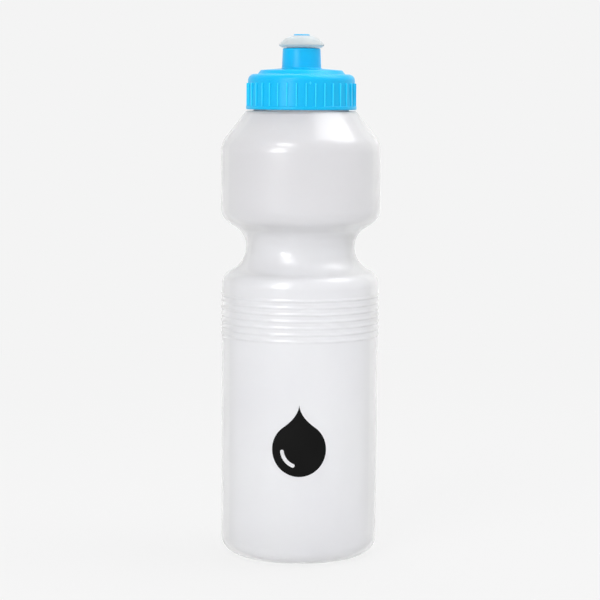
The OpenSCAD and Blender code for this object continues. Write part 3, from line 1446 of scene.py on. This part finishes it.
@dataclass
class PrintedDrop(Piece):
    """A plain water drop printed on the front of the bottle."""

    wall_r: float = 36.3
    height: float = 33.0
    bowl_r: float = 12.4
    lean: float = 0.3
    side_pull: float = 0.42
    shine_out: float = 0.7
    shine_in: float = 0.56
    shine_span: float = 62.0
    shine_middle: float = 218.0
    centre_z: float = 58.0
    ink_t: float = 0.03
    ink_gap: float = 0.005
    step: float = 1.2

    @property
    def bowl_z(self) -> float:
        """Height of the bowl's centre above the middle of the drop."""
        return self.bowl_r - self.height / 2

    def outline(self) -> list[Point]:
        """The drop's edge, flat, from one side round the bowl to the tip and back."""
        tip = self.height / 2
        reach = tip - self.bowl_z
        start = math.pi / 2 - math.acos(self.bowl_r / reach) + self.lean
        bowl = arc((0.0, self.bowl_z), self.bowl_r, start, -math.pi - start, 72)
        first = Vector(bowl[0])
        pull = first + Vector((-math.sin(start), math.cos(start))) * reach * self.side_pull
        sides = []
        for i in range(1, 24):
            t = i / 24
            p = first * (1 - t) ** 2 + pull * 2 * t * (1 - t) + Vector((0.0, tip)) * t**2
            sides.append((p.x, p.y))
        return [*bowl, *[(-x, z) for x, z in sides], (0.0, tip), *reversed(sides)]

    def shine(self) -> list[Point]:
        """The edge of the crescent left open in the drop's bowl, with a round cap at each end."""
        bowl = (0.0, self.bowl_z)
        outer, inner = self.bowl_r * self.shine_out, self.bowl_r * self.shine_in
        first = math.radians(self.shine_middle - self.shine_span / 2)
        last = math.radians(self.shine_middle + self.shine_span / 2)
        near, far = arc(bowl, (outer + inner) / 2, first, last, 1)
        cap_r = (outer - inner) / 2
        return [
            *arc(bowl, outer, first, last, 20),
            *arc(far, cap_r, last, last + math.pi, 8)[1:-1],
            *arc(bowl, inner, last, first, 20),
            *arc(near, cap_r, first + math.pi, first + math.tau, 8)[1:-1],
        ]

    def build(self) -> Object:
        """Makes the print as a thin film wrapped round the wall.

        Returns:
            The finished object.
        """
        curve = bpy.data.curves.new("drop", "CURVE")
        curve.dimensions = "2D"
        curve.fill_mode = "BOTH"
        for edge in (self.outline(), self.shine()):
            line = curve.splines.new("POLY")
            line.points.add(len(edge) - 1)
            for point, (x, z) in zip(line.points, edge):
                point.co = (x * MM, z * MM, 0, 1)
            line.use_cyclic_u = True
        flat = bpy.data.objects.new("drop", curve)
        bpy.context.collection.objects.link(flat)
        depsgraph = bpy.context.evaluated_depsgraph_get()
        mesh = bpy.data.meshes.new_from_object(flat.evaluated_get(depsgraph), depsgraph=depsgraph)
        bpy.data.objects.remove(flat)
        bpy.data.curves.remove(curve)
        shape = bmesh.new()
        shape.from_mesh(mesh)
        bpy.data.meshes.remove(mesh)
        bmesh.ops.remove_doubles(shape, verts=shape.verts, dist=1e-7)
        cuts = int(self.bowl_r / self.step) + 1
        for i in range(-cuts, cuts + 1):
            everything = [*shape.verts, *shape.edges, *shape.faces]
            bmesh.ops.bisect_plane(
                shape, geom=everything, plane_co=(i * self.step * MM, 0, 0), plane_no=(1, 0, 0)
            )
        grown = bmesh.ops.extrude_face_region(shape, geom=shape.faces[:])
        lifted = {v for v in grown["geom"] if isinstance(v, bmesh.types.BMVert)}
        for vert in shape.verts:
            x, z = vert.co.x / MM, vert.co.y / MM
            r = self.wall_r + (self.ink_t if vert in lifted else self.ink_gap)
            turn = x / self.wall_r
            vert.co = Vector((r * math.sin(turn), -r * math.cos(turn), self.centre_z + z)) * MM
        bmesh.ops.recalc_face_normals(shape, faces=shape.faces)
        drop = placed("printed_drop", as_mesh(shape, "printed_drop"), self.finish, 30)
        return self.declare(drop, Body.BOTTLE, Slot.PRINT)


# --------------------------------------------------------------------------- studio and camera


@dataclass
class Softbox:
    """A rectangular soft light that looks at a height on the bottle's axis."""

    name: str
    azimuth: float
    elevation: float
    distance: float
    width: float
    height: float
    glow: float
    look_z: float = 0.13

    def build(self) -> Object:
        """Makes the light.

        Returns:
            The light, which the camera doesn't see.
        """
        data = bpy.data.lights.new(self.name, "AREA")
        data.shape = "RECTANGLE"
        data.size, data.size_y = self.width, self.height
        data.energy = self.glow * math.pi * self.width * self.height
        box = bpy.data.objects.new(self.name, data)
        a, e = math.radians(self.azimuth), math.radians(self.elevation)
        away = Vector((math.sin(a) * math.cos(e), -math.cos(a) * math.cos(e), math.sin(e)))
        box.location = Vector((0, 0, self.look_z)) + away * self.distance
        box.rotation_euler = away.to_track_quat("Z", "Y").to_euler()
        box.visible_camera = False
        bpy.context.collection.objects.link(box)
        return box


@dataclass
class Studio:
    """A pale floor that runs into a backdrop of the same tone, and the soft lights."""

    backdrop: float = 0.905
    surround: float = 0.94
    left_lift: float = -0.15
    top_lift: float = -0.1
    floor_albedo: float = 0.7
    shadow: float = 0.1
    near: float = 0.14
    far: float = 0.75
    floor_r: float = 8.0
    floor_drop: float = 0.0003
    lights: tuple[Softbox, ...] = (
        Softbox("front_left", -31, 0, 0.75, 0.3, 0.3, 6.5, look_z=0.345),
        Softbox("key_left", -27, 42, 1.25, 0.45, 0.4, 6.0),
        Softbox("right_top", 96, 60, 1.2, 0.62, 0.8, 3.8),
        Softbox("back_top", 180, 62, 1.2, 0.9, 0.5, 2.0),
    )

    def tone(self, tree: Tree, lit: float | Socket) -> Socket:
        """The backdrop's tone for the camera, and another for everything that it lights.

        Args:
            tree: The tree that the nodes go into.
            lit: The tone that lights the bottle.

        Returns:
            The tone's socket.
        """
        seen = tree.add("ShaderNodeLightPath").outputs["Is Camera Ray"]
        mix = tree.add("ShaderNodeMix", Factor=seen)
        tree.put(mix.inputs["A"], lit)
        tree.put(mix.inputs["B"], self.backdrop)
        return mix.outputs[0]

    def build(self) -> None:
        """Makes the world, the floor and the lights."""
        world = bpy.data.worlds.new("studio")
        world.use_nodes = True
        sky = Tree(world.node_tree)
        background = world.node_tree.nodes["Background"]
        background.inputs["Color"].default_value = (1, 1, 1, 1)
        direction = sky.add("ShaderNodeTexCoord").outputs["Generated"]
        side = sky.add("ShaderNodeSeparateXYZ", Vector=direction)
        lit = sky.maths("MULTIPLY_ADD", side.outputs["X"], -self.left_lift, self.surround)
        above = sky.maths("POWER", sky.maths("MAXIMUM", side.outputs["Z"], 0.0), 1.5)
        lit = sky.maths("MULTIPLY_ADD", above, self.top_lift, lit)
        sky.put(background.inputs["Strength"], self.tone(sky, lit))
        bpy.context.scene.world = world
        self.floor()
        for light in self.lights:
            light.build()

    def floor(self) -> Object:
        """Makes the floor, which takes the bottle's soft shadow and fades into the backdrop.

        Returns:
            The floor.
        """
        material = bpy.data.materials.new("pale_floor")
        material.use_nodes = True
        tree = Tree(material.node_tree)
        nodes = material.node_tree.nodes
        shader = nodes["Principled BSDF"]
        shader.inputs["Base Color"].default_value = (self.floor_albedo,) * 3 + (1,)
        shader.inputs["Roughness"].default_value = 0.9
        shader.inputs["Specular IOR Level"].default_value = 0.1
        glow = tree.add("ShaderNodeEmission", Strength=self.tone(tree, self.surround))
        away = tree.add("ShaderNodeVectorMath", {"operation": "LENGTH"})
        tree.put(away.inputs[0], tree.add("ShaderNodeTexCoord").outputs["Object"])
        share = tree.ramp(away.outputs["Value"], self.near, self.far, 1.0 - self.shadow, 1.0)
        mix = tree.add("ShaderNodeMixShader", Fac=share)
        tree.put(mix.inputs[1], shader.outputs[0])
        tree.put(mix.inputs[2], glow.outputs[0])
        tree.put(nodes["Material Output"].inputs["Surface"], mix.outputs[0])
        shape = bmesh.new()
        bmesh.ops.create_circle(shape, cap_ends=True, segments=96, radius=self.floor_r)
        mesh = bpy.data.meshes.new("floor")
        shape.to_mesh(mesh)
        shape.free()
        mesh.materials.append(material)
        made = bpy.data.objects.new("floor", mesh)
        made.location.z = -self.floor_drop
        bpy.context.collection.objects.link(made)
        return made


@dataclass
class StudioCamera:
    """A long lens a little above the middle of the bottle."""

    distance: float = 0.952
    height: float = 0.217
    look_z: float = 0.118
    lens: float = 123.6
    roll: float = 0.38

    def build(self) -> Object:
        """Makes the camera and gives it to the scene.

        Returns:
            The camera.
        """
        data = bpy.data.cameras.new("camera")
        data.lens, data.sensor_width = self.lens, 36.0
        data.clip_start, data.clip_end = 0.01, 50.0
        camera = bpy.data.objects.new("camera", data)
        camera.location = (0, -self.distance, self.height)
        look = Vector((0, 0, self.look_z)) - camera.location
        roll = Matrix.Rotation(math.radians(self.roll), 3, "Z")
        camera.rotation_euler = (look.to_track_quat("-Z", "Y").to_matrix() @ roll).to_euler()
        bpy.context.collection.objects.link(camera)
        bpy.context.scene.camera = camera
        return camera


def main() -> None:
    logging.basicConfig(level=logging.INFO, format="%(name)s: %(message)s")
    bpy.context.scene.view_settings.view_transform = "Standard"
    StudioCamera().build()
    Studio().build()
    grain, marks = mould_grain(), handling_marks()
    builders: list[Callable[[], Object]] = [
        BottleShell(BOTTLE_FINISH.build(grain, marks)).build,
        PrintedDrop(INK_FINISH.build(grain, marks)).build,
        SealingWasher(WASHER_FINISH.build(grain, marks)).build,
        ScrewLid(LID_FINISH.build(grain, marks)).build,
        Mouthpiece(MOUTHPIECE_FINISH.build(grain, marks)).build,
    ]
    for build in builders:
        build()


if __name__ == "__main__":
    main()
